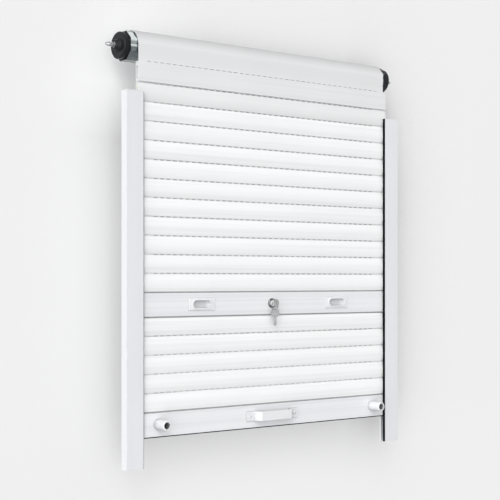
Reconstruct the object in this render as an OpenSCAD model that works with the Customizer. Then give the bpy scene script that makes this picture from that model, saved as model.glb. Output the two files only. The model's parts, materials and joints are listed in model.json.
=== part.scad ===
// Exterior roller shutter: convex slats in two guide rails, wound on a spring roller.
// Millimetres. X runs along the slats, +Y goes in towards the window, +Z is up.
// The origin is midway between the rails, on their back plane, at their lower ends.
// The curtain is drawn with its lower edge held above the sill, as in the photograph.

/* [Opening] */
// clear width between the lips of the two rails
opening_w = 684; // [640:1:720]
// length of each guide rail
rail_len = 767; // [760:1:780]
// height of the curtain's lower edge above the sill
bottom_gap = 60; // [56:1:64]

/* [Guide rails] */
// width of a rail, seen from outside
rail_w = 40; // [40:1:48]
// wall of a rail
rail_wall = 1.6; // [1.4:0.1:1.8]
// depth of the groove, from the lip to the inner web
groove_depth = 28; // [27:0.5:29]
// how far a slat reaches into the groove
slat_insert = 8; // [7.6:0.2:9]

/* [Curtain] */
// height from one slat line to the next
slat_pitch = 39; // [38:0.5:40]
// radius of a slat's outer skin
slat_r = 62; // [55:1:80]
// height of the flat slat that carries the lock
lock_slat_h = 51; // [50:0.5:54]
// height of the lowest slat with its seal
bottom_slat_h = 52.5; // [50:0.5:56]
// height of the flat slat at the top
top_slat_h = 43; // [41:0.5:46]
// distance between two light slots
slot_step = 16; // [15.2:0.1:17]

/* [Roller] */
// octagonal tube, across its flats
tube_flats = 60; // [58:0.5:60]
// wall of the tube
tube_wall = 1; // [0.8:0.1:1.2]
// height of the roller above the top slat
roller_up = 33; // [30:0.5:36]
// how far each axle end sticks out of its cap
pin_out = 20; // [16:1:24]

/* [Lock and handles] */
// distance of a finger pull from the middle
pull_x = 191; // [180:1:200]
// reach of the bow handle in front of its slat
handle_out = 19; // [16:1:26]
// distance of a stopper from the side of the opening
stopper_in = 40; // [30:1:47]
// length of a stopper
stopper_len = 35; // [30:1:40]
// radius of the ring round the key
rose_r = 10.5; // [10:0.5:12]

/* [Hidden] */
$fn = 64;

// rail depth, and the depths of a slat's outer and inner face
rail_d = 20;
yf = -12;
yb = -3.5;
lip_x = opening_w / 2;
out_x = lip_x + rail_w;
web_x = lip_x + groove_depth;
slat_len = opening_w + 2 * slat_insert;
end_x = slat_len / 2;
stopper_x = lip_x - stopper_in;
// play between a slat and the rail's liners
play = 0.4;

// height of each slat line
z_bottom = bottom_gap;
z_low = z_bottom + bottom_slat_h;
z_lock = z_low + 5 * slat_pitch;
z_high = z_lock + lock_slat_h;
z_top = z_high + 11 * slat_pitch;
z_apron = z_top + top_slat_h;
z_axis = z_apron + roller_up;
// lock and handle heights
zl = z_lock + lock_slat_h / 2 - 0.3;
zh = z_bottom + bottom_slat_h / 2 + 1;

// joint between slats: lower edge, lip, pocket and tongue
edge_low = 1.2;
edge_high = 1.8;
lip_top = 2.6;
pocket_top = 9.5;
bulb_h = 2.8;
tongue_y = -6.4;
tongue_t = 1.2;
slot_len = slot_step - 6;
n_slots = floor((opening_w - 24) / slot_step / 2) * 2 - 1;

// roller: the tube's corners, the apron on it and the axis
corner_r = tube_flats / 2 / cos(22.5);
apron_t = 1.6;
apron_in = corner_r + 0.3;
apron_out = apron_in + apron_t;
apron_y = -6.2;
clamp_y = apron_out + 0.05;
axis_y = apron_y + apron_in + apron_t / 2;
tube_x = end_x + 11;
tube_right = end_x + 1;
cap_x = tube_x + 13;
boss_x = cap_x + 9;
pin_x = boss_x + pin_out;
axle_r = 6;
pin_r = 5;
tip_len = 7;
bush_in = 3;
clamp_a = -8;
clamp_step = (slat_len - 100) / 4;
clamp_t = 2;
clamp_h = 14;
// apron screws: shank, head, reach into the tube and the room left round them
screw_r = 2;
head_r = 3.8;
screw_tip = tube_flats / 2 - 7;
screw_room = 0.5;
// plain bearings in the end caps
bush_r = 8.5;
bush_tail = 20;

// rack and pinion in the lock
gear_m = 1.5;
gear_n = 10;
gear_r = gear_m * gear_n / 2;
rack_step = PI * gear_m;
rack_back = 9.3;
bar_top = 13.8;
bar_y0 = -8.3;
bar_y1 = -5.5;
bar_x = end_x - 1;

white = [0.93, 0.94, 0.95];
grey = [0.72, 0.73, 0.75];
steel = [0.6, 0.62, 0.64];
black = [0.06, 0.06, 0.06];

// a flat outline in depth and height, run along X and centred
module along_x(len) {
    translate([-len / 2, 0, 0])
        rotate([90, 0, 90])
            linear_extrude(height = len)
                children();
}

// a rectangle given by its two corners
module rect(a, b) {
    translate(a)
        square([b[0] - a[0], b[1] - a[1]]);
}

// a box given by its two corners
module box(a, b) {
    translate(a)
        cube([b[0] - a[0], b[1] - a[1], b[2] - a[2]]);
}

// a round bar along X, from x0 to x1
module bar_x(x0, x1, r, r1 = -1) {
    translate([x0, 0, 0])
        rotate([0, 90, 0])
            cylinder(h = x1 - x0, r1 = r, r2 = r1 < 0 ? r : r1);
}

// a round bar along Y, from y0 to y1
module bar_y(y0, y1, r, r1 = -1) {
    translate([0, y0, 0])
        rotate([-90, 0, 0])
            cylinder(h = y1 - y0, r1 = r, r2 = r1 < 0 ? r : r1);
}

// guide rails and what is fixed in them

// a rail's outline, lip at x = 0 and fixing chamber beyond the inner web
module rail_outline() {
    difference() {
        rect([0, -rail_d], [rail_w, 0]);
        rect([-1, -rail_d + rail_wall], [groove_depth, -rail_wall]);
        rect([groove_depth + rail_wall, -rail_d + rail_wall], [rail_w - 1.8, -rail_wall]);
    }
    rect([0, -rail_d + rail_wall - 0.2], [1.2, -rail_d + rail_wall + 0.5]);
    rect([9.2, -rail_d + rail_wall - 0.2], [10.2, -rail_d + rail_wall + 1.6]);
    for (x = [0, 9.2])
        rect([x, yb + play], [x + 1.2, -rail_wall + 0.2]);
}

// the right rail, with two bolt holes through the rear wall of its chamber
module rail(strike_z) {
    translate([lip_x, 0, 0])
        difference() {
            linear_extrude(height = rail_len)
                rail_outline();
            for (z = [100, rail_len - 100])
                translate([(groove_depth + rail_wall + rail_w - 1.8) / 2, 0, z])
                    bar_y(-rail_wall - 1, 1, 2.75);
            translate([0, -9, strike_z + 9])
                bar_x(groove_depth - 1, groove_depth + rail_wall + 1, 2.1);
        }
}

// the pile strip between a rail's front wall and the slats
module liner() {
    translate([lip_x, 0, 0])
        linear_extrude(height = rail_len - 0.5)
            difference() {
                rect([0.4, -rail_d + rail_wall], [9.2, yf - play]);
                rect([0, -rail_d + rail_wall - 0.1], [1.2, -rail_d + rail_wall + 0.5]);
            }
}

// underside of a strike, just above its bar when the curtain is down
right_strike_z = zl + bar_top - bottom_gap + 0.6;
left_strike_z = zl - rack_back - bottom_gap + 0.6;

module strike(z) {
    translate([0, 0, z])
        difference() {
            union() {
                box([web_x - 2, -15, 0], [web_x, -3, 18]);
                box([web_x - 13, -15, 0], [web_x, -3, 3]);
            }
            translate([0, -9, 9])
                bar_x(web_x - 3, web_x + 1, 2.1);
        }
}

module strike_screw(z) {
    translate([0, -9, z + 9]) {
        bar_x(web_x - 4, web_x - 2, 3.2, 3.8);
        bar_x(web_x - 2, web_x + 5, 2);
    }
}

module left_guide_rail() {
    color(white)
        mirror([1, 0, 0])
            rail(left_strike_z);
}

module right_guide_rail() {
    color(white)
        rail(right_strike_z);
}

module left_liner() {
    color(black)
        mirror([1, 0, 0])
            liner();
}

module right_liner() {
    color(black)
        liner();
}

module left_lock_strike() {
    color(steel)
        mirror([1, 0, 0])
            strike(left_strike_z);
}

module right_lock_strike() {
    color(steel)
        strike(right_strike_z);
}

module strike_screws() {
    color(steel) {
        strike_screw(right_strike_z);
        mirror([1, 0, 0])
            strike_screw(left_strike_z);
    }
}

// roller: fixed axle, spring, turning tube and the apron wound on it

module at_axis() {
    translate([0, axis_y, z_axis])
        children();
}

// the turned-down end that sits in a wall bracket
module axle_end() {
    bar_x(boss_x, pin_x - tip_len, pin_r);
    bar_x(pin_x - tip_len, pin_x, pin_r, pin_r - 3);
}

module axle() {
    color(steel)
        at_axis() {
            bar_x(-boss_x - 0.5, boss_x + 0.5, axle_r);
            axle_end();
            mirror([1, 0, 0])
                axle_end();
        }
}

spring_r = 15;
wire_r = 1.5;
spring_turns = 20;
spring_len = 175;
spring_x0 = 51 - tube_x;
spring_x1 = spring_x0 + spring_len;
spring_steps = 12;
spring_sides = 6;

module spring_anchor() {
    color(steel)
        at_axis()
            difference() {
                bar_x(spring_x0 - 22, spring_x0 - wire_r, 19);
                bar_x(spring_x0 - 23, spring_x0, axle_r);
            }
}

// one ring of the wire, at turn t of the helix
function wire_ring(t) = [
    for (k = [0 : spring_sides - 1])
        let (a = 360 * t, b = 360 * k / spring_sides, r = spring_r + wire_r * cos(b))
            [spring_x0 + (spring_x1 - spring_x0) * t / spring_turns + wire_r * sin(b),
             r * cos(a), r * sin(a)]
];

module torsion_spring() {
    n = spring_turns * spring_steps;
    s = spring_sides;
    pts = [for (i = [0 : n]) each wire_ring(i / spring_steps)];
    sides = [
        for (i = [0 : n - 1], k = [0 : s - 1])
            let (a = i * s + k, b = i * s + (k + 1) % s)
                each [[a, b, b + s], [a, b + s, a + s]]
    ];
    ends = [[for (k = [s - 1 : -1 : 0]) k], [for (k = [0 : s - 1]) n * s + k]];
    color(grey)
        at_axis()
            polyhedron(points = pts, faces = concat(sides, ends), convexity = 10);
}

module octagon(flats) {
    rotate(22.5)
        circle(r = flats / 2 / cos(22.5), $fn = 8);
}

module roller_tube() {
    color(grey)
        at_axis()
            difference() {
                translate([(tube_right - tube_x) / 2, 0, 0])
                    difference() {
                        along_x(tube_x + tube_right)
                            octagon(tube_flats);
                        along_x(tube_x + tube_right + 2)
                            octagon(tube_flats - 2 * tube_wall);
                    }
                for (i = [-2 : 2])
                    translate([i * clamp_step, 0, 0])
                        rotate([clamp_a, 0, 0])
                            bar_y(0, apron_out, screw_r + 0.2);
            }
}

// a moulded cap: plug inside the tube, thick flange, conical boss
module end_cap() {
    at_axis()
        difference() {
            union() {
                translate([tube_x - 14, 0, 0])
                    along_x(28)
                        octagon(tube_flats - 2 * tube_wall - 0.4);
                bar_x(tube_x, tube_x + 2, 29);
                bar_x(tube_x + 2, cap_x - 2, 28);
                bar_x(cap_x - 2, cap_x, 28, 26);
                bar_x(cap_x - 0.5, boss_x, 15, 10);
            }
            bar_x(tube_x - 29, boss_x - bush_in, bush_r);
            bar_x(boss_x - bush_in - 1, boss_x + 1, axle_r + 0.6);
            difference() {
                bar_x(tube_x - 29, tube_x - 4, 26);
                bar_x(tube_x - 30, tube_x - 3, 13);
            }
        }
}

module left_end_cap() {
    color(black)
        mirror([1, 0, 0])
            end_cap();
}

module right_end_cap() {
    color(black)
        end_cap();
}

module tube_bush() {
    at_axis()
        difference() {
            bar_x(tube_x - bush_tail, boss_x - bush_in, bush_r);
            bar_x(tube_x - bush_tail - 1, boss_x, axle_r + 0.05);
        }
}

module tube_bushes() {
    color([0.85, 0.85, 0.8]) {
        tube_bush();
        mirror([1, 0, 0])
            tube_bush();
    }
}

module spring_plug() {
    color(black)
        at_axis()
            difference() {
                translate([spring_x1 + wire_r + 15.1, 0, 0])
                    along_x(30)
                        octagon(tube_flats - 2 * tube_wall - 0.4);
                bar_x(spring_x1 - 1, spring_x1 + 40, axle_r + 0.6);
                rotate([clamp_a, 0, 0])
                    box([spring_x1, screw_tip - screw_room, -screw_r - screw_room],
                        [spring_x1 + 40, corner_r, screw_r + screw_room]);
            }
}

// the apron's outline: round the tube from the clamp at the back, over the top, straight
// down in front, with a bead that the top slat hangs on
module apron_outline() {
    intersection() {
        difference() {
            circle(r = apron_out, $fn = 128);
            circle(r = apron_in, $fn = 128);
        }
        union() {
            rect([-60, 0], [60, 60]);
            polygon([[0, 0], [60, 0], [60, -60 * tan(24)]]);
        }
    }
    rect([-apron_out, -roller_up - 3], [-apron_in, 0]);
    rect([-apron_out - 0.9, -roller_up - 6], [-apron_in + 0.9, -roller_up - 3]);
}

module top_apron() {
    color(white)
        at_axis()
            difference() {
                along_x(slat_len - 10)
                    apron_outline();
                for (i = [0 : n_slots - 1])
                    translate([(i - (n_slots - 1) / 2) * slot_step, -apron_in - apron_t / 2, 1.2 - roller_up])
                        cube([slot_len, apron_t + 1, 2], center = true);
                for (i = [-2 : 2])
                    translate([i * clamp_step, 0, 0])
                        rotate([clamp_a, 0, 0])
                            bar_y(screw_tip, apron_out + clamp_t, screw_r + 0.6);
            }
}

module apron_clamp() {
    color(steel)
        at_axis()
            rotate([clamp_a, 0, 0])
                difference() {
                    box([-end_x + 10, clamp_y, -clamp_h / 2], [end_x - 10, clamp_y + clamp_t, clamp_h / 2]);
                    for (i = [-2 : 2])
                        translate([i * clamp_step, 0, 0])
                            bar_y(screw_tip, clamp_y + clamp_t + 1, screw_r + 0.2);
                }
}

module apron_screws() {
    color(steel)
        at_axis()
            rotate([clamp_a, 0, 0])
                for (i = [-2 : 2])
                    translate([i * clamp_step, 0, 0]) {
                        bar_y(screw_tip, clamp_y + clamp_t, screw_r);
                        bar_y(clamp_y + clamp_t, clamp_y + clamp_t + 1.95, head_r, head_r - 0.8);
                    }
}

// curtain: slats that hook into one another

// the pocket and lips along a slat's lower edge
module pocket_outline() {
    rect([-8.8, lip_top], [-4.3, pocket_top]);
    rect([-7.4, 0], [-5.4, lip_top + 0.1]);
}

// the tongue along a slat's upper edge
module tongue_outline(h) {
    rect([tongue_y - tongue_t / 2, h - edge_high - 0.5], [tongue_y + tongue_t / 2, h + lip_top + 0.1]);
    rect([tongue_y - 1.8, h + lip_top], [tongue_y + 1.8, h + lip_top + bulb_h]);
}

// the convex outline of a slat, drawn in by d on every side
module convex_outline(d, low, high) {
    mid = (edge_low + slat_pitch - edge_high) / 2;
    intersection() {
        rect([yf - 1, low], [yb - d, high]);
        translate([yf + slat_r, mid])
            circle(r = slat_r - d, $fn = 256);
    }
}

module slat_outline() {
    difference() {
        convex_outline(0, edge_low, slat_pitch - edge_high);
        convex_outline(0.8, pocket_top + 1, slat_pitch - edge_high - 0.9);
        pocket_outline();
    }
    tongue_outline(slat_pitch);
}

// the row of light slots through a tongue
module light_slots(h) {
    for (i = [0 : n_slots - 1])
        translate([(i - (n_slots - 1) / 2) * slot_step, tongue_y, h - 0.25])
            cube([slot_len, tongue_t + 1, 2.5], center = true);
}

// height of convex slat i, counted from the top
function slat_z(i) = i <= 11 ? z_high + (11 - i) * slat_pitch : z_low + (16 - i) * slat_pitch;

module slat(i) {
    color(white)
        translate([0, 0, slat_z(i)])
            difference() {
                along_x(slat_len)
                    slat_outline();
                if (i != 12)
                    light_slots(slat_pitch);
            }
}

module slat_foam() {
    color([0.9, 0.82, 0.55])
        for (i = [1 : 16])
            translate([0, 0, slat_z(i)])
                along_x(slat_len - 2)
                    convex_outline(0.86, pocket_top + 1.06, slat_pitch - edge_high - 0.96);
}

// end pieces that keep every second slat from sliding sideways
module end_lock(i) {
    translate([0, 0, slat_z(i)]) {
        box([end_x, yf + 3.2, 10.8], [end_x + 1.2, yb - 1, slat_pitch - edge_high - 1.5]);
        box([end_x - 0.9, yf + 4.2, 12], [end_x + 0.1, yb - 1.6, slat_pitch - edge_high - 3]);
    }
}

module slat_end_locks() {
    color(black)
        for (i = [2 : 2 : 16]) {
            end_lock(i);
            mirror([1, 0, 0])
                end_lock(i);
        }
}

module top_slat() {
    h = top_slat_h;
    color(white)
        translate([0, 0, z_top])
            along_x(slat_len)
                difference() {
                    rect([yf, edge_low], [yb, h - 1.5]);
                    rect([yf + 1.2, pocket_top + 1], [yb - 0.8, h - 11]);
                    pocket_outline();
                    rect([-8.6, h - 9.5], [-4.3, h - 3]);
                    rect([-7.5, h - 4], [-4.9, h]);
                }
}

lock_low = 10.9;
lock_high = lock_slat_h - 3.4;
wall_f = yf + 1.4;
wall_b = yb - 1.4;

module lock_slat() {
    color(white)
        difference() {
            translate([0, 0, z_lock])
                along_x(slat_len) {
                    difference() {
                        rect([yf, edge_low], [yb, lock_slat_h - edge_high]);
                        rect([wall_f, lock_low], [wall_b, lock_high]);
                        pocket_outline();
                    }
                    tongue_outline(lock_slat_h);
                }
            translate([0, 0, zl]) {
                bar_y(yf - 1, wall_f + 0.5, 7.05);
                bar_y(wall_b - 0.5, yb + 1, 3.5);
                for (s = [-1, 1])
                    translate([s * pull_x, 0, 0])
                        pull_hole(yf - 1, wall_f + 0.5, 46.8, 17.8);
                for (x = [-18, 18])
                    translate([x, 0, 0])
                        bar_y(wall_b - 0.5, yb + 1, 1.7);
            }
        }
}

bottom_low = 2.2;

module bottom_slat() {
    h = bottom_slat_h;
    color(white)
        difference() {
            translate([0, 0, z_bottom])
                along_x(slat_len) {
                    difference() {
                        rect([yf, bottom_low], [yb, h - edge_high]);
                        rect([wall_f, 12], [wall_b, h - 3.4]);
                        rect([-10.4, 5.5], [-5.1, 9.8]);
                        rect([-8.9, bottom_low - 1], [-6.6, 6]);
                    }
                    tongue_outline(h);
                }
            translate([0, 0, zh])
                for (s = [-1, 1]) {
                    translate([s * foot_screw_x, 0, 0])
                        bar_y(yf - 1, wall_f + 0.5, 2.1);
                    translate([s * stopper_x, 0, 0])
                        bar_y(yf - 1, wall_f + 0.5, 2.1);
                }
        }
}

module bottom_seal() {
    color(black)
        translate([0, 0, z_bottom])
            along_x(slat_len - 2) {
                rect([-11.4, 1], [-4.1, bottom_low]);
                rect([-11.4, 0], [-9.4, 1.1]);
                rect([-6.1, 0], [-4.1, 1.1]);
                rect([-8.7, bottom_low - 0.1], [-6.8, 5.7]);
                rect([-10, 5.6], [-5.5, 9]);
            }
}

// fittings on the lowest slat

bow_t = 4;
bow_h = 20;
bow_r = 9;
bow_lean = 20;
bow_half = 53;
foot_t = 3;
foot_half = bow_half + 19;
foot_screw_x = bow_half + 10.5;

// points along one bend of the bow at radius r, from one angle to another
function bow_bend(r, from, to) = [
    for (i = [0 : 8])
        let (a = from + (to - from) * i / 8)
            [bow_half - (bow_r + (handle_out - bow_r) * sin(bow_lean)) / cos(bow_lean) + r * cos(a),
             yf - handle_out + bow_r + r * sin(a)]
];

// the bow seen from above: flat front, bends, slanted legs and feet
module bow_outline() {
    foot = [
        [bow_half - foot_t * tan(bow_lean), yf - foot_t],
        [foot_half, yf - foot_t],
        [foot_half, yf],
        [bow_half - bow_t / cos(bow_lean), yf]
    ];
    right = concat(bow_bend(bow_r, -90, -bow_lean), foot, bow_bend(bow_r - bow_t, -bow_lean, -90));
    left = [for (i = [len(right) - 1 : -1 : 0]) [-right[i][0], right[i][1]]];
    polygon(concat(right, left));
}

module bow_handle() {
    color(white)
        translate([0, 0, zh])
            difference() {
                translate([0, 0, -bow_h / 2])
                    linear_extrude(height = bow_h)
                        bow_outline();
                for (x = [-foot_screw_x, foot_screw_x])
                    translate([x, 0, 0])
                        bar_y(yf - foot_t - 1, yf + 1, screw_r + 0.1);
            }
}

// a screw into the front wall of a slat, with its head seated at depth y
module wall_screw(y) {
    bar_y(y - 2, y, head_r - 0.8, head_r);
    bar_y(y, yf + 5, screw_r);
}

module handle_screws() {
    color(steel)
        for (x = [-foot_screw_x, foot_screw_x])
            translate([x, 0, zh])
                wall_screw(yf - foot_t);
}

stopper_r = 10.2;

module stopper() {
    translate([0, 0, zh])
        difference() {
            union() {
                bar_y(yf - stopper_len, yf - stopper_len + 1, stopper_r - 0.8, stopper_r);
                bar_y(yf - stopper_len + 1, yf, stopper_r);
            }
            bar_y(yf - stopper_len - 1, yf - 5, 7.2);
            bar_y(yf - 6, yf + 1, 2.1);
        }
}

module left_stopper() {
    color(white)
        translate([-stopper_x, 0, 0])
            stopper();
}

module right_stopper() {
    color(white)
        translate([stopper_x, 0, 0])
            stopper();
}

module stopper_screws() {
    color(steel)
        for (s = [-1, 1])
            translate([s * stopper_x, 0, zh])
                wall_screw(yf - 5);
}

// fittings on the lock slat

// a slot with round ends, run along Y from y0 to y1
module pull_hole(y0, y1, w, h) {
    box([-(w - h) / 2, y0, -h / 2], [(w - h) / 2, y1, h / 2]);
    for (s = [-1, 1])
        translate([s * (w - h) / 2, 0, 0])
            bar_y(y0, y1, h / 2);
}

pull_w = 69;
pull_h = 26.5;
pull_r = 3;

module finger_pull() {
    w = pull_w / 2;
    h = pull_h / 2;
    r = pull_r;
    translate([0, 0, zl])
        difference() {
            union() {
                box([r - w, yf - 2, -h], [w - r, yf, h]);
                box([-w, yf - 2, r - h], [w, yf, h - r]);
                for (x = [r - w, w - r], z = [r - h, h - r])
                    translate([x, 0, z])
                        bar_y(yf - 2, yf, r);
                pull_hole(yf - 3, yf - 1, pull_w - 15, pull_h - 5.5);
                pull_hole(yf - 1, wall_b - 0.3, 46.4, 17.4);
            }
            pull_hole(yf - 4, wall_b - 1.3, 44.6, 15.6);
        }
}

module left_finger_pull() {
    color(white)
        translate([-pull_x, 0, 0])
            finger_pull();
}

module right_finger_pull() {
    color(white)
        translate([pull_x, 0, 0])
            finger_pull();
}

module lock_rose() {
    color(steel)
        translate([0, 0, zl])
            difference() {
                union() {
                    bar_y(yf - 1.5, yf, rose_r);
                    bar_y(yf - 3, yf - 1.5, rose_r - 1.5, rose_r);
                }
                bar_y(yf - 4, yf + 1, 7);
            }
}

module lock_housing() {
    color(steel)
        translate([0, 0, zl])
            difference() {
                bar_y(yf - 4, bar_y0 - 0.5, 7);
                bar_y(yf - 5, bar_y0, 5.05);
            }
}

module lock_case() {
    color(steel)
        translate([0, 0, zl])
            difference() {
                box([-24, yb, -17], [24, yb + 5, 17]);
                bar_y(yb - 1, yb + 3.4, 3.05);
                for (x = [-18, 18])
                    translate([x, 0, 0])
                        bar_y(yb - 1, yb + 6, 1.7);
            }
}

module lock_case_screws() {
    color(steel)
        for (x = [-18, 18])
            translate([x, 0, zl]) {
                bar_y(wall_b - 0.3, yb + 5, 1.6);
                bar_y(yb + 5, yb + 6.6, 3, 2.4);
            }
}

// plug with its keyway and drive spindle
module lock_plug() {
    color(steel)
        translate([0, 0, zl])
            difference() {
                union() {
                    bar_y(yf - 4.2, bar_y0 - 0.4, 5);
                    bar_y(bar_y0 - 0.5, yb + 3.2, 3);
                }
                box([-1.1, yf - 5, -3.9], [1.1, yf + 2.5, 3.9]);
            }
}

// half the angle that a tooth fills at radius r, in degrees
press_a = 25;
base_r = gear_r * cos(press_a);
function inv(a) = tan(a) * 180 / PI - a;
function tooth_half(r) =
    90 / gear_n - 0.12 / gear_r * 180 / PI + inv(press_a) - (r > base_r ? inv(acos(base_r / r)) : 0);
function polar(r, a) = [r * cos(a), r * sin(a)];
tooth_radii = [5.7, 6.8, 7.2, 7.6, 8, 8.4, 8.7];

module pinion_outline() {
    circle(r = 5.8);
    for (i = [0 : gear_n - 1])
        rotate(90 + i * 360 / gear_n)
            polygon(concat(
                [for (r = tooth_radii) polar(r, -tooth_half(r))],
                [for (k = [len(tooth_radii) - 1 : -1 : 0]) polar(tooth_radii[k], tooth_half(tooth_radii[k]))]
            ));
}

module lock_pinion() {
    color(steel)
        translate([0, bar_y1, zl])
            rotate([90, 0, 0])
                linear_extrude(height = bar_y1 - bar_y0)
                    difference() {
                        pinion_outline();
                        circle(r = 3);
                    }
}

// a flat bar with rack teeth on its lower edge, as it lies above the pinion
module rack_outline() {
    rect([-22, rack_back], [bar_x, bar_top]);
    for (i = [-4 : 1]) {
        x = (i + 0.5) * rack_step;
        w0 = rack_step / 4 - 0.12;
        slope = tan(press_a);
        polygon([
            [x - w0 - 1.81 * slope, gear_r + 1.81], [x - w0 + 1.2 * slope, gear_r - 1.2],
            [x + w0 - 1.2 * slope, gear_r - 1.2], [x + w0 + 1.81 * slope, gear_r + 1.81]
        ]);
    }
}

module right_lock_bar() {
    color(steel)
        translate([0, bar_y1, zl])
            rotate([90, 0, 0])
                linear_extrude(height = bar_y1 - bar_y0)
                    rack_outline();
}

module left_lock_bar() {
    color(steel)
        translate([0, bar_y1, zl])
            rotate([90, 0, 0])
                linear_extrude(height = bar_y1 - bar_y0)
                    rotate(180)
                        rack_outline();
}

// a moulded plug in the end of the lock slat, with a slot for its bar
module bar_guide(low, high) {
    difference() {
        box([end_x - 16, wall_f, z_lock + lock_low], [end_x, wall_b, z_lock + lock_high]);
        box([end_x - 17, bar_y0 - 0.3, zl + low - 0.3], [end_x + 1, bar_y1 + 0.3, zl + high + 0.3]);
    }
}

module left_bar_guide() {
    color(black)
        mirror([1, 0, 0])
            bar_guide(-bar_top, -rack_back);
}

module right_bar_guide() {
    color(black)
        bar_guide(rack_back, bar_top);
}

// keys: one in the lock, one hanging from it on a ring

key_y = yf - 15;
ring_r = 8.5;
ring_w = 0.8;
hole_y = key_y - 3;

module key() {
    color(steel)
        translate([0, 0, zl])
            difference() {
                union() {
                    box([-0.9, key_y, -3.6], [0.9, yf + 2.2, 3.6]);
                    box([-0.9, key_y, -5], [0.9, yf - 4.4, 5]);
                    translate([0, key_y, 0])
                        bar_x(-0.9, 0.9, 9);
                }
                translate([0, hole_y, 0])
                    bar_x(-2, 2, 2.6);
            }
}

module key_ring() {
    d = ring_r / sqrt(2);
    color(steel)
        translate([-d, hole_y, zl - d])
            rotate([90, 0, 0])
                rotate_extrude()
                    translate([ring_r, 0])
                        circle(r = ring_w, $fn = 32);
}

module spare_key() {
    d = ring_r / sqrt(2);
    color(steel)
        translate([-d, hole_y, zl - d - ring_r - 1.75])
            rotate([0, 0, 50])
                difference() {
                    union() {
                        translate([0, 0, -5.2])
                            bar_x(-0.9, 0.9, 9.6);
                        box([-0.9, -3.6, -30.4], [0.9, 3.2, -12]);
                        box([-0.9, -2.7, -32.6], [0.9, 1.8, -30.3]);
                    }
                    bar_x(-2, 2, 3.2);
                }
}

// drawing
left_guide_rail();
right_guide_rail();
left_liner();
right_liner();
left_lock_strike();
right_lock_strike();
strike_screws();
axle();
spring_anchor();
torsion_spring();
top_apron();
roller_tube();
left_end_cap();
right_end_cap();
tube_bushes();
spring_plug();
apron_clamp();
apron_screws();
top_slat();
slat(1);  // slat_01
slat(2);  // slat_02
slat(3);  // slat_03
slat(4);  // slat_04
slat(5);  // slat_05
slat(6);  // slat_06
slat(7);  // slat_07
slat(8);  // slat_08
slat(9);  // slat_09
slat(10);  // slat_10
slat(11);  // slat_11
slat(12);  // slat_12
slat(13);  // slat_13
slat(14);  // slat_14
slat(15);  // slat_15
slat(16);  // slat_16
slat_foam();
slat_end_locks();
lock_slat();
bottom_slat();
bottom_seal();
bow_handle();
handle_screws();
left_stopper();
right_stopper();
stopper_screws();
left_finger_pull();
right_finger_pull();
lock_rose();
lock_housing();
lock_case();
lock_case_screws();
left_bar_guide();
right_bar_guide();
lock_plug();
lock_pinion();
left_lock_bar();
right_lock_bar();
key();
key_ring();
spare_key();
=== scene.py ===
# Exterior roller shutter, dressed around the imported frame. Metres, Z up, +Y to the window.
import bpy
import bmesh
import json
import math
from mathutils import Vector, Matrix


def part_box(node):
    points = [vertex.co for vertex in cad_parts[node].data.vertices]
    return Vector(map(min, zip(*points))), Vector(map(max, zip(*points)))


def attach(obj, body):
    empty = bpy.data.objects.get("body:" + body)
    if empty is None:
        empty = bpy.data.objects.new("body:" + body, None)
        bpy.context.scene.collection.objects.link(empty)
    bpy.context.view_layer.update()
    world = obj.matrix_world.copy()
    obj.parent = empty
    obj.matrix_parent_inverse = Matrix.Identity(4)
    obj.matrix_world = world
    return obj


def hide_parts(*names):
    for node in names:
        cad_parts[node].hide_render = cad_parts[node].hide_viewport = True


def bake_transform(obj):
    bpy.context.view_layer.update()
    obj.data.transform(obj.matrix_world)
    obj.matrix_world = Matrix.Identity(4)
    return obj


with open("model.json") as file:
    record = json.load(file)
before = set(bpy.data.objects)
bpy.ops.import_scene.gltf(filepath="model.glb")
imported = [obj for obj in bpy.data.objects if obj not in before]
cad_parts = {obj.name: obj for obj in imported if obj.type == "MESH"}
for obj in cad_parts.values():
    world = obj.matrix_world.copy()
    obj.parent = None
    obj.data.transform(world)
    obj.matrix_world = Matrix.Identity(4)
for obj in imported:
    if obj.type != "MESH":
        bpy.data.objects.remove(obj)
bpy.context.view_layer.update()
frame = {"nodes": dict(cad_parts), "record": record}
NODES = frame["nodes"]
BEHAVIOUR = frame["record"]["behaviour"]
BODY_OF = {node: body for body, nodes in BEHAVIOUR["bodies"].items() for node in nodes}
scene = bpy.context.scene

# sizes of pieces are in millimetres, and MM turns them into metres
MM = 0.001
JOINT_AT = {
    joint["name"]: [part / MM for part in joint["pos_m"]]
    for joint in BEHAVIOUR["joints"] if "pos_m" in joint
}

# places and sizes that several pieces share
ROLLER_Y, ROLLER_Z = JOINT_AT["roller_turn"][1:]
LOCK_Z = JOINT_AT["lock_turn"][2]
RING_Y = JOINT_AT["key_hang"][1]
SLAT_FACE = -12.0
BOTTOM_SLAT_Z = 87.25

# the apron hangs in the slats' plane and lies on the roller's corners
APRON_Y = -6.2
APRON_T = 1.6
APRON_HALF = 345.0
APRON_IN = ROLLER_Y - APRON_Y - APRON_T / 2
APRON_OUT = APRON_IN + APRON_T


# node trees

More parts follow.
